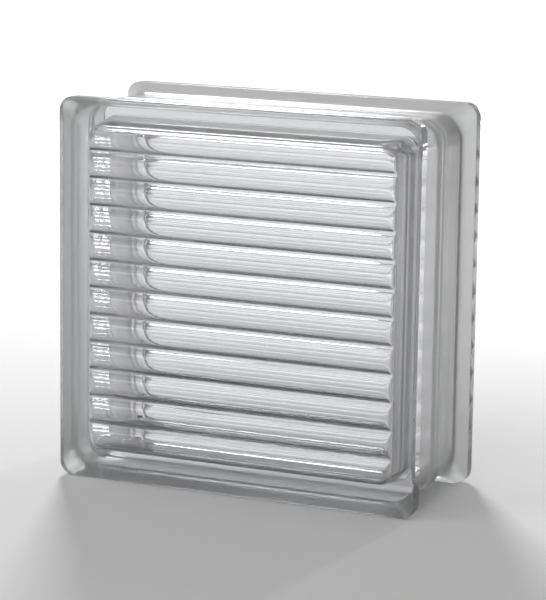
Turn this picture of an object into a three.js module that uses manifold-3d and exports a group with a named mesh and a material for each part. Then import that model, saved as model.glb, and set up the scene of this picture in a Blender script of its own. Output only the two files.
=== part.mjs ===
// A hollow glass building block: two pressed glass half-shells, fused rim to rim at mid depth.
//
// Each half is a square face with a flange round it, and a side wall behind the flange that swells a
// little where it meets the other half. Together the two flanges and the side walls make the mortar groove
// that runs round the block. The faces are smooth outside. Inside, level flutes run right across them, with
// a ridge between each two. Both halves come from the same mould.
//
// Millimetres. The origin is under the middle of the block: X along the face, Y from front to back, Z up.
import * as THREE from "three";
import { mergeVertices } from "three/addons/utils/BufferGeometryUtils.js";
import Module from "manifold-3d";

// Overall size.
const WIDTH = 190;
const HEIGHT = 190;
const DEPTH = 80;

// The flange round each face.
const FACE_CORNER_RADIUS = 7;
const FACE_EDGE_ROUND = 1.5;
const FLANGE_THICKNESS = 7;

// The mortar groove: its depth, the slope from a flange's rim down to the neck, and the neck itself.
const GROOVE_DEPTH = 5;
const SHOULDER_LENGTH = 8;
const SHOULDER_FILLET = 4;
const NECK_CORNER_RADIUS = 11;

// The seam: the neck swells towards it, and each half's rim rounds off again just before it.
const SEAM_SWELL = 0.9;
const SEAM_SWELL_LENGTH = 7;
const RIM_ROUND = 0.4;
const RIM_ROUND_LENGTH = 2.5;

// The glass: the side wall beside the neck at the seam, how much thicker it is at the face, and the face
// wall at the bottom of a flute.
const SIDE_WALL = 5.5;
const SIDE_WALL_DRAFT = 3;
const FACE_WALL = 6;
const CAVITY_FILLET = 4;
const CAVITY_CORNER_RADIUS = 10;

// The flutes inside a face: the distance from ridge to ridge, the height of a ridge above the bottom of a
// flute, and how round the ridges are.
const FLUTE_PITCH = 13.65;
const FLUTE_DEPTH = 2.5;
const RIDGE_RADIUS = 1;

// Flat steps that stand in for a quarter turn of a corner, for a rounded edge, and for half of a flute or
// ridge.
const CORNER_STEPS = 8;
const EDGE_STEPS = 4;
const FLUTE_STEPS = 5;

// How far a cutting or filling shape reaches past what it cuts or fills.
const REACH = 0.1;

const wasm = await Module();
wasm.setup();

function toSolid(geometry) {
  const bare = geometry.clone();
  bare.deleteAttribute("normal");
  bare.deleteAttribute("uv");
  const merged = mergeVertices(bare, 1e-4);
  return new wasm.Manifold(
    new wasm.Mesh({
      numProp: 3,
      vertProperties: new Float32Array(merged.attributes.position.array),
      triVerts: new Uint32Array(merged.index.array),
    }),
  );
}

function toGeometry(solid) {
  const mesh = solid.getMesh();
  const geometry = new THREE.BufferGeometry();
  geometry.setAttribute("position", new THREE.BufferAttribute(mesh.vertProperties, 3));
  geometry.setIndex(new THREE.BufferAttribute(mesh.triVerts, 1));
  return geometry;
}

// The outline of the block inset by a distance, with round corners.
function outlineShape(inset, cornerRadius) {
  const x = WIDTH / 2 - inset;
  const z = HEIGHT / 2 - inset;
  const shape = new THREE.Shape();
  shape.moveTo(x, cornerRadius - z);
  shape.absarc(x - cornerRadius, z - cornerRadius, cornerRadius, 0, Math.PI / 2);
  shape.absarc(cornerRadius - x, z - cornerRadius, cornerRadius, Math.PI / 2, Math.PI);
  shape.absarc(cornerRadius - x, cornerRadius - z, cornerRadius, Math.PI, 1.5 * Math.PI);
  shape.absarc(x - cornerRadius, cornerRadius - z, cornerRadius, 1.5 * Math.PI, 2 * Math.PI);
  return shape;
}

// A closed solid through a row of outlines, each { inset, y, cornerRadius }, in order of rising y.
function loft(stations) {
  const positions = [];
  const indices = [];
  let count = 0;
  for (const { inset, y, cornerRadius } of stations) {
    const points = outlineShape(inset, cornerRadius).getPoints(CORNER_STEPS);
    points.pop();
    count = points.length;
    for (const point of points) positions.push(point.x, y, point.y + HEIGHT / 2);
  }
  for (let ring = 0; ring + 1 < stations.length; ring++) {
    for (let i = 0; i < count; i++) {
      const here = ring * count + i;
      const next = ring * count + ((i + 1) % count);
      indices.push(here, here + count, next, next, here + count, next + count);
    }
  }
  for (const station of [0, stations.length - 1]) {
    const centre = positions.length / 3;
    positions.push(0, stations[station].y, HEIGHT / 2);
    for (let i = 0; i < count; i++) {
      const here = station * count + i;
      const next = station * count + ((i + 1) % count);
      if (station === 0) indices.push(centre, here, next);
      else indices.push(centre, next, here);
    }
  }
  const geometry = new THREE.BufferGeometry();
  geometry.setAttribute("position", new THREE.Float32BufferAttribute(positions, 3));
  geometry.setIndex(indices);
  return geometry;
}

// The outside of one half, from its face at y = 0 to the seam at half the depth.
function outerBody() {
  const seam = DEPTH / 2;
  const neckStart = FLANGE_THICKNESS + SHOULDER_LENGTH;
  const rim = new THREE.Path();
  rim.moveTo(FACE_EDGE_ROUND, 0);
  rim.absarc(FACE_EDGE_ROUND, FACE_EDGE_ROUND, FACE_EDGE_ROUND, 1.5 * Math.PI, Math.PI, true);
  rim.lineTo(0, FLANGE_THICKNESS);
  const groove = new THREE.Path();
  groove.moveTo(0, FLANGE_THICKNESS);
  const slope = new THREE.Vector2(GROOVE_DEPTH, SHOULDER_LENGTH).setLength(SHOULDER_FILLET);
  groove.lineTo(GROOVE_DEPTH - slope.x, neckStart - slope.y);
  groove.quadraticCurveTo(GROOVE_DEPTH, neckStart, GROOVE_DEPTH, neckStart + SHOULDER_FILLET);
  const swollen = GROOVE_DEPTH - SEAM_SWELL;
  const rimStart = seam - RIM_ROUND_LENGTH;
  groove.lineTo(GROOVE_DEPTH, seam - SEAM_SWELL_LENGTH);
  groove.lineTo(swollen, rimStart);
  groove.quadraticCurveTo(swollen, (rimStart + seam) / 2, swollen + RIM_ROUND, seam);
  const stations = [];
  for (const point of rim.getPoints(EDGE_STEPS)) {
    stations.push({ inset: point.x, y: point.y, cornerRadius: FACE_CORNER_RADIUS - point.x });
  }
  for (const point of groove.getPoints(EDGE_STEPS).slice(1)) {
    const share = Math.min(point.x / GROOVE_DEPTH, 1);
    const cornerRadius = THREE.MathUtils.lerp(FACE_CORNER_RADIUS, NECK_CORNER_RADIUS, share);
    stations.push({ inset: point.x, y: point.y, cornerRadius });
  }
  return toSolid(loft(stations));
}

// The hollow of one half before its floor is fluted: a pocket with a filleted floor, which runs on past the
// seam.
function pocket() {
  const seam = DEPTH / 2;
  const floor = FACE_WALL - REACH;
  const wallAtSeam = GROOVE_DEPTH + SIDE_WALL;
  const wallAtFloor = wallAtSeam + SIDE_WALL_DRAFT;
  const side = new THREE.Path();
  side.moveTo(wallAtFloor + CAVITY_FILLET, floor);
  side.absarc(
    wallAtFloor + CAVITY_FILLET,
    floor + CAVITY_FILLET,
    CAVITY_FILLET,
    1.5 * Math.PI,
    Math.PI,
    true,
  );
  side.lineTo(wallAtSeam, seam);
  side.lineTo(wallAtSeam, seam + REACH);
  const stations = side.getPoints(2 * EDGE_STEPS).map((point) => ({
    inset: point.x,
    y: point.y,
    cornerRadius: CAVITY_CORNER_RADIUS - (point.x - wallAtSeam),
  }));
  return toSolid(loft(stations));
}

// The fluted floor of the hollow, as a slab that is flat inside the face wall. A ridge runs at mid height,
// and as many flutes follow up and down as the hollow is high.
function flutedFloor() {
  const fluteRadius = FLUTE_PITCH ** 2 / (8 * FLUTE_DEPTH) + FLUTE_DEPTH / 2 - RIDGE_RADIUS;
  const halfAngle = Math.asin(FLUTE_PITCH / 2 / (fluteRadius + RIDGE_RADIUS));
  const perSide = Math.ceil((HEIGHT / 2 - GROOVE_DEPTH - SIDE_WALL) / FLUTE_PITCH);
  const top = perSide * FLUTE_PITCH;
  const down = -Math.PI / 2;
  const section = new THREE.Shape();
  section.moveTo(-top, FACE_WALL - 2 * REACH);
  section.lineTo(top, FACE_WALL - 2 * REACH);
  for (let ridge = perSide - 1; ridge >= -perSide; ridge--) {
    section.absarc(
      (ridge + 0.5) * FLUTE_PITCH,
      FACE_WALL + fluteRadius,
      fluteRadius,
      down + halfAngle,
      down - halfAngle,
      true,
    );
    section.absarc(
      ridge * FLUTE_PITCH,
      FACE_WALL + FLUTE_DEPTH - RIDGE_RADIUS,
      RIDGE_RADIUS,
      -down - halfAngle,
      -down + halfAngle,
    );
  }
  const slab = new THREE.ExtrudeGeometry(section, {
    depth: WIDTH - 2 * GROOVE_DEPTH,
    curveSegments: FLUTE_STEPS,
    bevelEnabled: false,
  });
  // The section's first axis turns to stand along Z, its second to Y, and the run of the flutes to X.
  slab.applyMatrix4(
    new THREE.Matrix4().makeBasis(
      new THREE.Vector3(0, 0, 1),
      new THREE.Vector3(0, 1, 0),
      new THREE.Vector3(-1, 0, 0),
    ),
  );
  slab.translate(WIDTH / 2 - GROOVE_DEPTH, 0, HEIGHT / 2);
  return toSolid(slab);
}

// One half-shell, its face at y = -DEPTH / 2 and its open side at y = 0.
function halfShell(name) {
  const solid = outerBody().subtract(pocket().subtract(flutedFloor()));
  const geometry = toGeometry(solid).translate(0, -DEPTH / 2, 0);
  const glass = new THREE.MeshStandardMaterial({ color: 0xd6dcda, roughness: 0.08, metalness: 0 });
  const mesh = new THREE.Mesh(geometry, glass);
  mesh.name = name;
  return mesh;
}

const block = new THREE.Group();
const frontHalf = halfShell("front_half_shell");
const backHalf = halfShell("back_half_shell");
backHalf.rotation.z = Math.PI;
block.add(frontHalf, backHalf);

export default block;
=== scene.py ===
"""The looks of a hollow glass block: one fused pressed glass with a fluted hollow, on a sweep."""
import math

import bmesh
import bpy
from mathutils import Matrix, Vector


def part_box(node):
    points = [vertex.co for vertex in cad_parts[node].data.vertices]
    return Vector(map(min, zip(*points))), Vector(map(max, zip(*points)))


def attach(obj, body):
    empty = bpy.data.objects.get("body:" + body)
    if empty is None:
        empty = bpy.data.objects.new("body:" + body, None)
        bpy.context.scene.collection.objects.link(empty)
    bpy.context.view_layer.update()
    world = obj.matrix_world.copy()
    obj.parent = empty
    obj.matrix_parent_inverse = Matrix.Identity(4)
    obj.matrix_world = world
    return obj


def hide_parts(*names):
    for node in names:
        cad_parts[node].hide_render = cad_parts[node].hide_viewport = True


MM = 0.001

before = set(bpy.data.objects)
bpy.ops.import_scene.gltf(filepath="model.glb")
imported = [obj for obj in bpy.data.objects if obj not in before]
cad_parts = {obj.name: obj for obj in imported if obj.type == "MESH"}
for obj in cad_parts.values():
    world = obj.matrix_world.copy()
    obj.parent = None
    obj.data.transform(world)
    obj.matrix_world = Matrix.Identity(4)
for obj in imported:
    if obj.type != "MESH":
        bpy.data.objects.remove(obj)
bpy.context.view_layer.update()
BLOCK_LOW, BLOCK_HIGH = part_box("front_half_shell")
BLOCK_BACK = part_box("back_half_shell")[1].y

# Overall size of the block, from the frame.
HALF_WIDTH = BLOCK_HIGH.x
HALF_HEIGHT = (BLOCK_HIGH.z - BLOCK_LOW.z) / 2
HALF_DEPTH = BLOCK_BACK
MIDDLE = Vector((0, 0, BLOCK_LOW.z + HALF_HEIGHT))

# The outside of one half, in the order of its profile, which starts a margin in from the rounded
# edge of the face and ends at the seam.
FACE_CORNER_RADIUS = 7 * MM
FACE_MARGIN = 1 * MM
FACE_EDGE_ROUND = 1.5 * MM
FLANGE_THICKNESS = 7 * MM
FLANGE_BACK_ROUND = 0.8 * MM
GROOVE_DEPTH = 5 * MM
SHOULDER_LENGTH = 8 * MM
SHOULDER_FILLET = 14 * MM
NECK_CORNER_RADIUS = 11 * MM
SEAM_SWELL = 0.9 * MM
SEAM_SWELL_LENGTH = 7 * MM
RIM_ROUND = 0.4 * MM
RIM_ROUND_LENGTH = 2.5 * MM

# The hollow of one half. The fillet that leads up to its wall starts a little below the bottoms of
# the flutes, and the two are blended where they cross.
FACE_WALL = 6 * MM
SIDE_WALL = 5.5 * MM
SIDE_WALL_DRAFT = 3 * MM
HOLLOW_CORNER_RADIUS = 7 * MM
HOLLOW_FILLET = 5 * MM
FILLET_SINK = 0.1 * MM
FLUTE_PITCH = 13.65 * MM
FLUTE_DEPTH = 2.5 * MM
RIDGE_RADIUS = 1 * MM
FLUTE_END_BLEND = 0.3 * MM

# How finely the skins are divided.
CORNER_SEGMENTS = 10
ROUND_SEGMENTS = 6
FILLET_SEGMENTS = 14
ROWS_PER_FLUTE = 26
FLAT_COLUMNS = 22
WALL_SEGMENTS = 6

# A straight stretch of the profile that is longer than this gets an extra point near each of its
# ends, which keeps it flat in the shading.
GUARDED_LENGTH = 1.5 * MM
GUARD_DISTANCE = 0.25 * MM

# The halves are fused where their rims are this close, and places are told apart by this many
# decimals of a metre.
FUSE_DISTANCE = 0.01 * MM
PLACE_DECIMALS = 7

# Two attributes of the glass: how much of the satin coat a place has, and how much of the mould's
# unevenness. The coat comes in between two depths behind the face, at the back edge of the flange.
COAT = "satin_coat"
MOULD_MARKS = "mould_marks"
COAT_START, COAT_FULL = 6.3 * MM, 7.2 * MM

# The glass: its tint where it is clear and where it is coated, how strongly it bends light, and the
# colour and density with which it takes light off on the way through.
CLEAR_TINT = (0.86, 0.862, 0.875, 1)
COATED_TINT = (0.64, 0.64, 0.644, 1)
GLASS_IOR = 1.52
GLASS_BODY = (0.9, 0.901, 0.902, 1)
GLASS_DENSITY = 60

# The satin coat: how clear and how rough it is, and how much milky white is in it.
COAT_CLEARNESS = 0.7
COAT_ROUGHNESS = 0.22
COAT_MILK = 0.18
MILKY_WHITE = (0.8, 0.81, 0.8, 1)

# The mould's unevenness: its height, its cycles a metre and its finer detail.
UNEVENNESS = 0.04 * MM
UNEVENNESS_SCALE = 400
UNEVENNESS_DETAIL = 2

# The studio sweep, in metres: a floor just under the block's foot, which bends up into a backdrop.
SWEEP_HALF_WIDTH = 2.6
SWEEP_FRONT = -1.8
SWEEP_BEND_START = 1.1
SWEEP_BEND_RADIUS = 0.3
SWEEP_BEND_STEPS = 16
SWEEP_TOP = 0.5
SWEEP_DROP = 0.2 * MM
SWEEP_WHITE = (0.8, 0.8, 0.8, 1)
SWEEP_ROUGHNESS = 0.9

# The backdrop's glow, painted light that stands in for the fall-off of the studio's light: the way
# it rises along the floor, how far behind the block it starts and is full, how high up it begins to
# fade and has faded, how strong it is, and the share of it that is left above.
GLOW_WAY = (-0.41, 0.91, 0)
GLOW_START, GLOW_FULL = -0.15, 0.4
GLOW_FADES, GLOW_FADED = 0.15, 0.4
GLOW = 0.12
GLOW_LEFT = 0

# The softboxes: name, place, what it points at, width and height, and watts.
SOFTBOXES = (
    ("key_softbox", (-0.75, 1.3, 1.15), (0, 0, 0), (0.35, 0.35), 20),
    ("low_softbox", (-0.58, 1.3, 0.6), MIDDLE, (0.6, 0.2), 0.5),
    ("left_softbox", (-0.9, -0.9, 1.2), (0, 0, 0), (0.8, 0.8), 4),
    ("front_softbox", (0.1, -1.6, 0.9), (0, 0, 0), (0.8, 0.8), 6),
)

# How strong the room's even light is.
ROOM_LIGHT = 0.3

# A short row of thin lamps behind the block and to its right, which the fluted glass breaks up into
# sparkles.
LAMP_ROW = 8
LAMP_STEP = 7.5 * MM
LAMP_SIZE = (4 * MM, 350 * MM)
LAMP_PLACE = Vector((0.194, 0.96, 0.19))
LAMP_WATTS = 0.38

# The camera, in metres and degrees: its place about the block's middle, the way it looks and its
# roll. Its lens and sensor are in millimetres.
CAMERA_DISTANCE = 1.326
CAMERA_AZIMUTH, CAMERA_ELEVATION = 24.39, 11.09
AIM_AZIMUTH, AIM_ELEVATION, AIM_ROLL = 24.27, 11.28, 0.74
LENS, SENSOR_WIDTH = 161.5, 36


# ---------------------------------------------------------------- shared steps

def placed(name, data):
    """A new object of the scene, at the origin."""
    item = bpy.data.objects.new(name, data)
    bpy.context.scene.collection.objects.link(item)
    return item


def smooth_mesh(bm, name):
    """The mesh of a finished form, shaded smooth. The form itself is let go."""
    for face in bm.faces:
        face.smooth = True
    mesh = bpy.data.meshes.new(name)
    bm.to_mesh(mesh)
    bm.free()
    return mesh


def drawn_out(bm, rim, carried):
    """Draws an open rim out into a new row of faces, still folded onto it.

    Each new vertex takes over what the one it grew from carries. The new vertices and the new rim
    are given back, for the caller to move.
    """
    before = {
        vert.co.to_tuple(PLACE_DECIMALS): carried[vert] for edge in rim for vert in edge.verts
    }
    grown = bmesh.ops.extrude_edge_only(bm, edges=rim)["geom"]
    fresh = [item for item in grown if isinstance(item, bmesh.types.BMVert)]
    for vert in fresh:
        carried[vert] = before[vert.co.to_tuple(PLACE_DECIMALS)]
    edges = [item for item in grown if isinstance(item, bmesh.types.BMEdge)]
    return fresh, [edge for edge in edges if edge.is_boundary]


# ---------------------------------------------------------------- the block's outside

def guarded(points):
    """A profile with an extra point near each end of its long straight stretches."""
    dense = [points[0]]
    for before, after in zip(points, points[1:]):
        run = math.dist(before, after)
        if run > GUARDED_LENGTH:
            for share in (GUARD_DISTANCE / run, 1 - GUARD_DISTANCE / run):
                dense.append(tuple(a + (b - a) * share for a, b in zip(before, after)))
        dense.append(after)
    return dense


def rounded_turn(before, corner, after, radius):
    """The arc that rounds one corner of a profile, as points."""
    corner = Vector(corner)
    first = (Vector(before) - corner).normalized()
    second = (Vector(after) - corner).normalized()
    half_angle = first.angle(second) / 2
    reach = radius / math.tan(half_angle)
    centre = corner + (first + second).normalized() * (radius / math.sin(half_angle))
    start = corner + first * reach - centre
    end = corner + second * reach - centre
    turned = start.angle_signed(end)
    points = []
    for step in range(ROUND_SEGMENTS + 1):
        point = start.copy()
        point.rotate(Matrix.Rotation(-turned * step / ROUND_SEGMENTS, 2))
        points.append(tuple(centre + point))
    return points


def outside_profile():
    """The outside of one half as (inset, depth) points, from the face to the seam."""
    face_point = (FACE_EDGE_ROUND + FACE_MARGIN, 0)
    face_edge = (0, 0)
    flange_back = (0, FLANGE_THICKNESS)
    neck_start = (GROOVE_DEPTH, FLANGE_THICKNESS + SHOULDER_LENGTH)
    seam = (GROOVE_DEPTH, HALF_DEPTH)
    points = [face_point]
    points += rounded_turn(face_point, face_edge, flange_back, FACE_EDGE_ROUND)
    points += rounded_turn(face_edge, flange_back, neck_start, FLANGE_BACK_ROUND)
    points += rounded_turn(flange_back, neck_start, seam, SHOULDER_FILLET)
    swell_start = HALF_DEPTH - SEAM_SWELL_LENGTH
    swell_run = SEAM_SWELL_LENGTH - RIM_ROUND_LENGTH
    points.append((GROOVE_DEPTH, swell_start))
    shares = [step / ROUND_SEGMENTS for step in range(1, ROUND_SEGMENTS + 1)]
    for share in shares:
        rise = SEAM_SWELL * (1 - math.cos(math.pi * share)) / 2
        points.append((GROOVE_DEPTH - rise, swell_start + swell_run * share))
    for share in shares:
        fall = RIM_ROUND * share * share
        depth = HALF_DEPTH - RIM_ROUND_LENGTH * (1 - share)
        points.append((GROOVE_DEPTH - SEAM_SWELL + fall, depth))
    return guarded(points)


def place_on_outline(vert, corner, inset, depth):
    """Moves a vertex to its place on the block's outline.

    corner is the side it is on in x and in z, and its angle round the corner there.
    """
    side_x, side_z, turn = corner
    radius = FACE_CORNER_RADIUS - inset
    if depth > FACE_EDGE_ROUND:
        share = min(max(inset / GROOVE_DEPTH, 0), 1)
        radius = FACE_CORNER_RADIUS + (NECK_CORNER_RADIUS - FACE_CORNER_RADIUS) * share
    vert.co.x = side_x * (HALF_WIDTH - inset - radius + radius * math.cos(turn))
    vert.co.z = MIDDLE.z + side_z * (HALF_HEIGHT - inset - radius + radius * math.sin(turn))
    vert.co.y = depth - HALF_DEPTH


def half_outside():
    """The outside of the front half: a square face with round corners, drawn back to the seam."""
    profile = outside_profile()
    bm = bmesh.new()
    coat = bm.verts.layers.float.new(COAT)
    marks = bm.verts.layers.float.new(MOULD_MARKS)
    bmesh.ops.create_grid(bm, x_segments=1, y_segments=1, size=1)
    bmesh.ops.rotate(bm, verts=bm.verts, matrix=Matrix.Rotation(math.pi / 2, 3, "X"))
    # The square reaches 1 from its middle until its vertices are placed, and is cut back this far.
    corner_cut = 0.5
    bmesh.ops.bevel(
        bm,
        geom=bm.verts[:],
        offset=corner_cut,
        segments=CORNER_SEGMENTS,
        affect="VERTICES",
        profile=0.5,
        material=-1,
    )
    corners = {}
    for vert in bm.verts:
        side_x, side_z = math.copysign(1, vert.co.x), math.copysign(1, vert.co.z)
        beyond_x = abs(vert.co.x) - (1 - corner_cut)
        beyond_z = abs(vert.co.z) - (1 - corner_cut)
        turn = math.atan2(beyond_z, beyond_x)
        corners[vert] = (side_x, side_z, min(max(turn, 0), math.pi / 2))
    for vert in bm.verts:
        place_on_outline(vert, corners[vert], *profile[0])
    rim = [edge for edge in bm.edges if edge.is_boundary]
    for inset, depth in profile[1:]:
        fresh, rim = drawn_out(bm, rim, corners)
        for vert in fresh:
            place_on_outline(vert, corners[vert], inset, depth)
    for vert in bm.verts:
        depth = vert.co.y + HALF_DEPTH
        vert[coat] = min(max((depth - COAT_START) / (COAT_FULL - COAT_START), 0), 1)
        vert[marks] = min(depth / FACE_EDGE_ROUND, 1)
    return bm


# ---------------------------------------------------------------- the hollow

def blended_max(first, second, blend):
    """The larger of two heights, rounded where they cross."""
    nearness = max(blend - abs(first - second), 0) / blend
    return max(first, second) + nearness * nearness * blend / 4


def flute_height(z):
    """The height of the fluted surface above the bottom of a flute; z is taken from mid height."""
    flute_radius = FLUTE_PITCH ** 2 / (8 * FLUTE_DEPTH) + FLUTE_DEPTH / 2 - RIDGE_RADIUS
    half_angle = math.asin(FLUTE_PITCH / 2 / (flute_radius + RIDGE_RADIUS))
    from_ridge = abs(z - FLUTE_PITCH * round(z / FLUTE_PITCH))
    if from_ridge < RIDGE_RADIUS * math.sin(half_angle):
        return FLUTE_DEPTH - RIDGE_RADIUS + math.sqrt(RIDGE_RADIUS ** 2 - from_ridge ** 2)
    from_bottom = FLUTE_PITCH / 2 - from_ridge
    return flute_radius - math.sqrt(flute_radius ** 2 - from_bottom ** 2)


def floor_height(from_wall, z):
    """The height of the hollow's floor above the bottom of a flute, at a distance from the wall."""
    reach = max(HOLLOW_FILLET - from_wall, 0)
    fillet = HOLLOW_FILLET - math.sqrt(HOLLOW_FILLET ** 2 - reach ** 2) - FILLET_SINK
    return blended_max(flute_height(z), fillet, FLUTE_END_BLEND)


def station(index, flat_steps, flat_reach):
    """The place of a grid line, counted from the middle.

    The lines are even over the flat floor, and go by angle up the fillet.
    """
    count = abs(index)
    if count <= flat_steps:
        place = flat_reach * count / flat_steps
    else:
        turn = math.pi / 2 * (count - flat_steps) / FILLET_SEGMENTS
        place = flat_reach + HOLLOW_FILLET * math.sin(turn)
    return math.copysign(place, index)


def round_cornered(x, z, wall_x, wall_z):
    """Where a place of the square floor goes when its corners are made round, and its way out."""
    straight_x = wall_x - HOLLOW_CORNER_RADIUS
    straight_z = wall_z - HOLLOW_CORNER_RADIUS
    beyond_x = abs(x) - straight_x
    beyond_z = abs(z) - straight_z
    if beyond_x > 0 and beyond_z > 0:
        squeeze = max(beyond_x, beyond_z) / math.hypot(beyond_x, beyond_z)
        outward = Vector((math.copysign(beyond_x, x), 0, math.copysign(beyond_z, z)))
        x = math.copysign(straight_x + beyond_x * squeeze, x)
        z = math.copysign(straight_z + beyond_z * squeeze, z)
    elif wall_x - abs(x) < wall_z - abs(z):
        outward = Vector((x, 0, 0))
    else:
        outward = Vector((0, 0, z))
    return x, z, outward.normalized()


def half_hollow():
    """The hollow of the front half: a fluted floor that turns up into a wall, open at the seam."""
    wall_x = HALF_WIDTH - GROOVE_DEPTH - SIDE_WALL - SIDE_WALL_DRAFT
    wall_z = HALF_HEIGHT - GROOVE_DEPTH - SIDE_WALL - SIDE_WALL_DRAFT
    flat_x = wall_x - HOLLOW_FILLET
    flat_z = wall_z - HOLLOW_FILLET
    flat_rows = int(flat_z / (FLUTE_PITCH / ROWS_PER_FLUTE))
    columns = 2 * (FLAT_COLUMNS + FILLET_SEGMENTS)
    rows = 2 * (flat_rows + FILLET_SEGMENTS)
    bm = bmesh.new()
    bmesh.ops.create_grid(bm, x_segments=columns, y_segments=rows, size=1)
    outward = {}
    for vert in bm.verts:
        x = station(round(vert.co.x * columns / 2), FLAT_COLUMNS, flat_x)
        z = station(round(vert.co.y * rows / 2), flat_rows, flat_z)
        from_wall = min(wall_x - abs(x), wall_z - abs(z))
        x, z, outward[vert] = round_cornered(x, z, wall_x, wall_z)
        vert.co = (x, floor_height(from_wall, z) + FACE_WALL - HALF_DEPTH, z + MIDDLE.z)
    rim = [edge for edge in bm.edges if edge.is_boundary]
    wall_foot = HOLLOW_FILLET - FILLET_SINK + FACE_WALL - HALF_DEPTH
    for step in range(1, WALL_SEGMENTS + 1):
        fresh, rim = drawn_out(bm, rim, outward)
        for vert in fresh:
            vert.co += outward[vert] * SIDE_WALL_DRAFT / WALL_SEGMENTS
            vert.co.y = wall_foot * (1 - step / WALL_SEGMENTS)
    return bm


# ---------------------------------------------------------------- the fused glass

def whole_skin(bm, name, inward):
    """A half, mirrored in the seam and fused there, with its faces turned outward or inward."""
    half = bm.verts[:] + bm.edges[:] + bm.faces[:]
    bmesh.ops.mirror(bm, geom=half, matrix=Matrix(), merge_dist=FUSE_DISTANCE, axis="Y")
    bmesh.ops.recalc_face_normals(bm, faces=bm.faces)
    if inward:
        bmesh.ops.reverse_faces(bm, faces=bm.faces)
    return smooth_mesh(bm, name)


def fused_glass():
    """The two half-shells as the one glass they are fused to: its outer skin and the hollow's."""
    outer = whole_skin(half_outside(), "outer_skin", inward=False)
    hollow = whole_skin(half_hollow(), "hollow_skin", inward=True)
    bm = bmesh.new()
    bm.from_mesh(outer)
    bm.from_mesh(hollow)
    bpy.data.meshes.remove(outer)
    bpy.data.meshes.remove(hollow)
    mesh = smooth_mesh(bm, "fused_glass_block")
    mesh.materials.append(pressed_glass())
    return placed("fused_glass_block", mesh)


# ---------------------------------------------------------------- finishes

def new_material(name):
    """A node material, with its node tree and its main shader."""
    material = bpy.data.materials.new(name)
    material.use_nodes = True
    return material, material.node_tree, material.node_tree.nodes["Principled BSDF"]


def attribute(tree, name):
    """A number that the mesh carries at each of its vertices."""
    node = tree.nodes.new("ShaderNodeAttribute")
    node.attribute_name = name
    return node.outputs["Fac"]


def place_on_piece(tree):
    """The place in the piece's own coordinates, in metres."""
    return tree.nodes.new("ShaderNodeTexCoord").outputs["Object"]


def noise(tree, scale, detail):
    """Soft noise over the piece: scale is in cycles a metre."""
    node = tree.nodes.new("ShaderNodeTexNoise")
    node.inputs["Scale"].default_value = scale
    node.inputs["Detail"].default_value = detail
    tree.links.new(place_on_piece(tree), node.inputs["Vector"])
    return node.outputs["Fac"]


def ranged(tree, source, first, last, start=0, end=1, easing="LINEAR"):
    """A number that goes from first to last as the source goes from start to end."""
    ramp = tree.nodes.new("ShaderNodeMapRange")
    ramp.interpolation_type = easing
    ramp.inputs["From Min"].default_value = start
    ramp.inputs["From Max"].default_value = end
    ramp.inputs["To Min"].default_value = first
    ramp.inputs["To Max"].default_value = last
    tree.links.new(source, ramp.inputs["Value"])
    return ramp.outputs["Result"]


def eased_along(tree, way, start, end, first, last):
    """A number that eases from first to last between two distances along a way over the piece."""
    along = tree.nodes.new("ShaderNodeVectorMath")
    along.operation = "DOT_PRODUCT"
    along.inputs[1].default_value = way
    tree.links.new(place_on_piece(tree), along.inputs[0])
    return ranged(tree, along.outputs["Value"], first, last, start, end, "SMOOTHSTEP")


def pressed_glass():
    """Glass that takes a little light off on its way through, with a satin coat in the groove."""
    material, tree, shader = new_material("pressed_glass")
    coat = attribute(tree, COAT)
    tint = tree.nodes.new("ShaderNodeMix")
    tint.data_type = "RGBA"
    tint.inputs["A"].default_value = CLEAR_TINT
    tint.inputs["B"].default_value = COATED_TINT
    tree.links.new(coat, tint.inputs["Factor"])
    tree.links.new(tint.outputs["Result"], shader.inputs["Base Color"])
    tree.links.new(ranged(tree, coat, 1, COAT_CLEARNESS), shader.inputs["Transmission Weight"])
    tree.links.new(ranged(tree, coat, 0, COAT_ROUGHNESS), shader.inputs["Roughness"])
    shader.inputs["IOR"].default_value = GLASS_IOR
    bump = tree.nodes.new("ShaderNodeBump")
    bump.inputs["Distance"].default_value = UNEVENNESS
    tree.links.new(noise(tree, UNEVENNESS_SCALE, UNEVENNESS_DETAIL), bump.inputs["Height"])
    tree.links.new(attribute(tree, MOULD_MARKS), bump.inputs["Strength"])
    tree.links.new(bump.outputs["Normal"], shader.inputs["Normal"])
    milky = tree.nodes.new("ShaderNodeBsdfTranslucent")
    milky.inputs["Color"].default_value = MILKY_WHITE
    mix = tree.nodes.new("ShaderNodeMixShader")
    tree.links.new(ranged(tree, coat, 0, COAT_MILK), mix.inputs["Fac"])
    tree.links.new(shader.outputs["BSDF"], mix.inputs[1])
    tree.links.new(milky.outputs["BSDF"], mix.inputs[2])
    body = tree.nodes.new("ShaderNodeVolumeAbsorption")
    body.inputs["Color"].default_value = GLASS_BODY
    body.inputs["Density"].default_value = GLASS_DENSITY
    output = tree.nodes["Material Output"]
    tree.links.new(mix.outputs["Shader"], output.inputs["Surface"])
    tree.links.new(body.outputs["Volume"], output.inputs["Volume"])
    return material


def white_with_painted_glow():
    """Matt white with painted light: a glow that rises behind the block and fades again high up."""
    material, tree, shader = new_material("white_with_painted_glow")
    shader.inputs["Base Color"].default_value = SWEEP_WHITE
    shader.inputs["Roughness"].default_value = SWEEP_ROUGHNESS
    shader.inputs["Emission Color"].default_value = (1, 1, 1, 1)
    # Painted light: the floor behind the block and the foot of the backdrop glow, brightest behind
    # the block.
    rising = eased_along(tree, GLOW_WAY, GLOW_START, GLOW_FULL, 0, GLOW)
    fading = eased_along(tree, (0, 0, 1), GLOW_FADES, GLOW_FADED, 1, GLOW_LEFT)
    strength = tree.nodes.new("ShaderNodeMath")
    strength.operation = "MULTIPLY"
    tree.links.new(rising, strength.inputs[0])
    tree.links.new(fading, strength.inputs[1])
    tree.links.new(strength.outputs["Value"], shader.inputs["Emission Strength"])
    return material


# ---------------------------------------------------------------- studio

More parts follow.
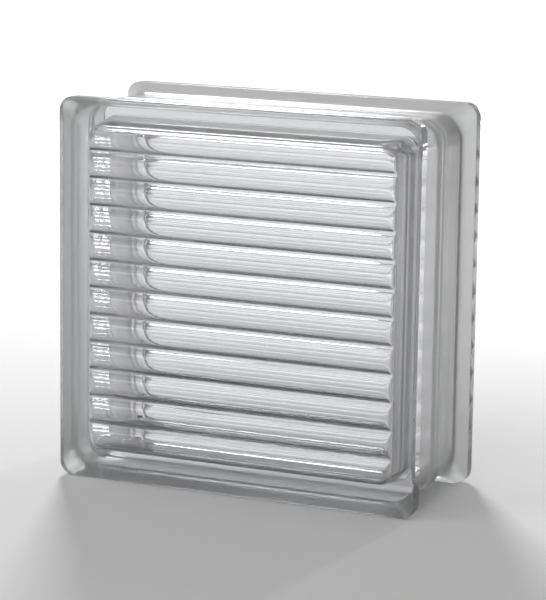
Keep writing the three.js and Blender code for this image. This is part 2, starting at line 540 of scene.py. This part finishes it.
def arc(centre, radius, start, end, steps):
    """Points of a circular arc, with angles in degrees, first and last included."""
    points = []
    for step in range(steps + 1):
        turn = math.radians(start + (end - start) * step / steps)
        points.append((centre[0] + radius * math.cos(turn), centre[1] + radius * math.sin(turn)))
    return points


def studio_sweep():
    """A pale floor that runs back from the block and bends up into a backdrop."""
    bend_centre = (SWEEP_BEND_START, SWEEP_BEND_RADIUS)
    profile = [(SWEEP_FRONT, 0)]
    profile += arc(bend_centre, SWEEP_BEND_RADIUS, -90, 0, SWEEP_BEND_STEPS)
    profile.append((SWEEP_BEND_START + SWEEP_BEND_RADIUS, SWEEP_TOP))
    bm = bmesh.new()
    verts = [bm.verts.new((-SWEEP_HALF_WIDTH, y, z - SWEEP_DROP)) for y, z in profile]
    edges = [bm.edges.new(pair) for pair in zip(verts, verts[1:])]
    swept = bmesh.ops.extrude_edge_only(bm, edges=edges)["geom"]
    moved = [item for item in swept if isinstance(item, bmesh.types.BMVert)]
    bmesh.ops.translate(bm, verts=moved, vec=(2 * SWEEP_HALF_WIDTH, 0, 0))
    bmesh.ops.recalc_face_normals(bm, faces=bm.faces)
    mesh = smooth_mesh(bm, "studio_sweep")
    mesh.materials.append(white_with_painted_glow())
    sweep = placed("studio_sweep", mesh)


def area_light(name, place, target, size, watts):
    """A soft rectangular light that points at its target; size is its width and height."""
    data = bpy.data.lights.new(name, "AREA")
    data.shape = "RECTANGLE"
    data.size, data.size_y = size
    data.energy = watts
    light = placed(name, data)
    light.location = place
    light.rotation_euler = (Vector(target) - Vector(place)).to_track_quat("-Z", "Y").to_euler()
    return light


def studio_lights():
    """The softboxes, the row of thin lamps and the even light of the room."""
    for softbox in SOFTBOXES:
        area_light(*softbox)
    for index in range(LAMP_ROW):
        aside = Vector(((index - (LAMP_ROW - 1) / 2) * LAMP_STEP, 0, 0))
        lamp = area_light("row_lamp_%d" % index, LAMP_PLACE + aside, MIDDLE, LAMP_SIZE, LAMP_WATTS)
        lamp.visible_camera = False
    room = bpy.data.worlds.new("studio_air")
    room.use_nodes = True
    background = room.node_tree.nodes["Background"]
    background.inputs["Color"].default_value = (1, 1, 1, 1)
    background.inputs["Strength"].default_value = ROOM_LIGHT
    bpy.context.scene.world = room


def camera():
    """The camera stands to the right of the block and above it, a little more than a metre away."""
    data = bpy.data.cameras.new("camera")
    data.sensor_width = SENSOR_WIDTH
    data.lens = LENS
    data.clip_start = 0.05
    data.clip_end = 20
    eye = placed("camera", data)
    bpy.context.scene.camera = eye
    turn, lift = math.radians(CAMERA_AZIMUTH), math.radians(CAMERA_ELEVATION)
    level_x, level_y = math.sin(turn), -math.cos(turn)
    back = Vector((level_x * math.cos(lift), level_y * math.cos(lift), math.sin(lift)))
    look = Matrix.Rotation(math.radians(AIM_AZIMUTH), 4, "Z")
    look @= Matrix.Rotation(math.radians(90 - AIM_ELEVATION), 4, "X")
    look @= Matrix.Rotation(math.radians(AIM_ROLL), 4, "Z")
    eye.matrix_world = Matrix.Translation(MIDDLE + back * CAMERA_DISTANCE) @ look


camera()
block = fused_glass()
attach(block, "root")
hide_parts("front_half_shell", "back_half_shell")
studio_sweep()
studio_lights()
bpy.context.scene.view_settings.view_transform = "Standard"
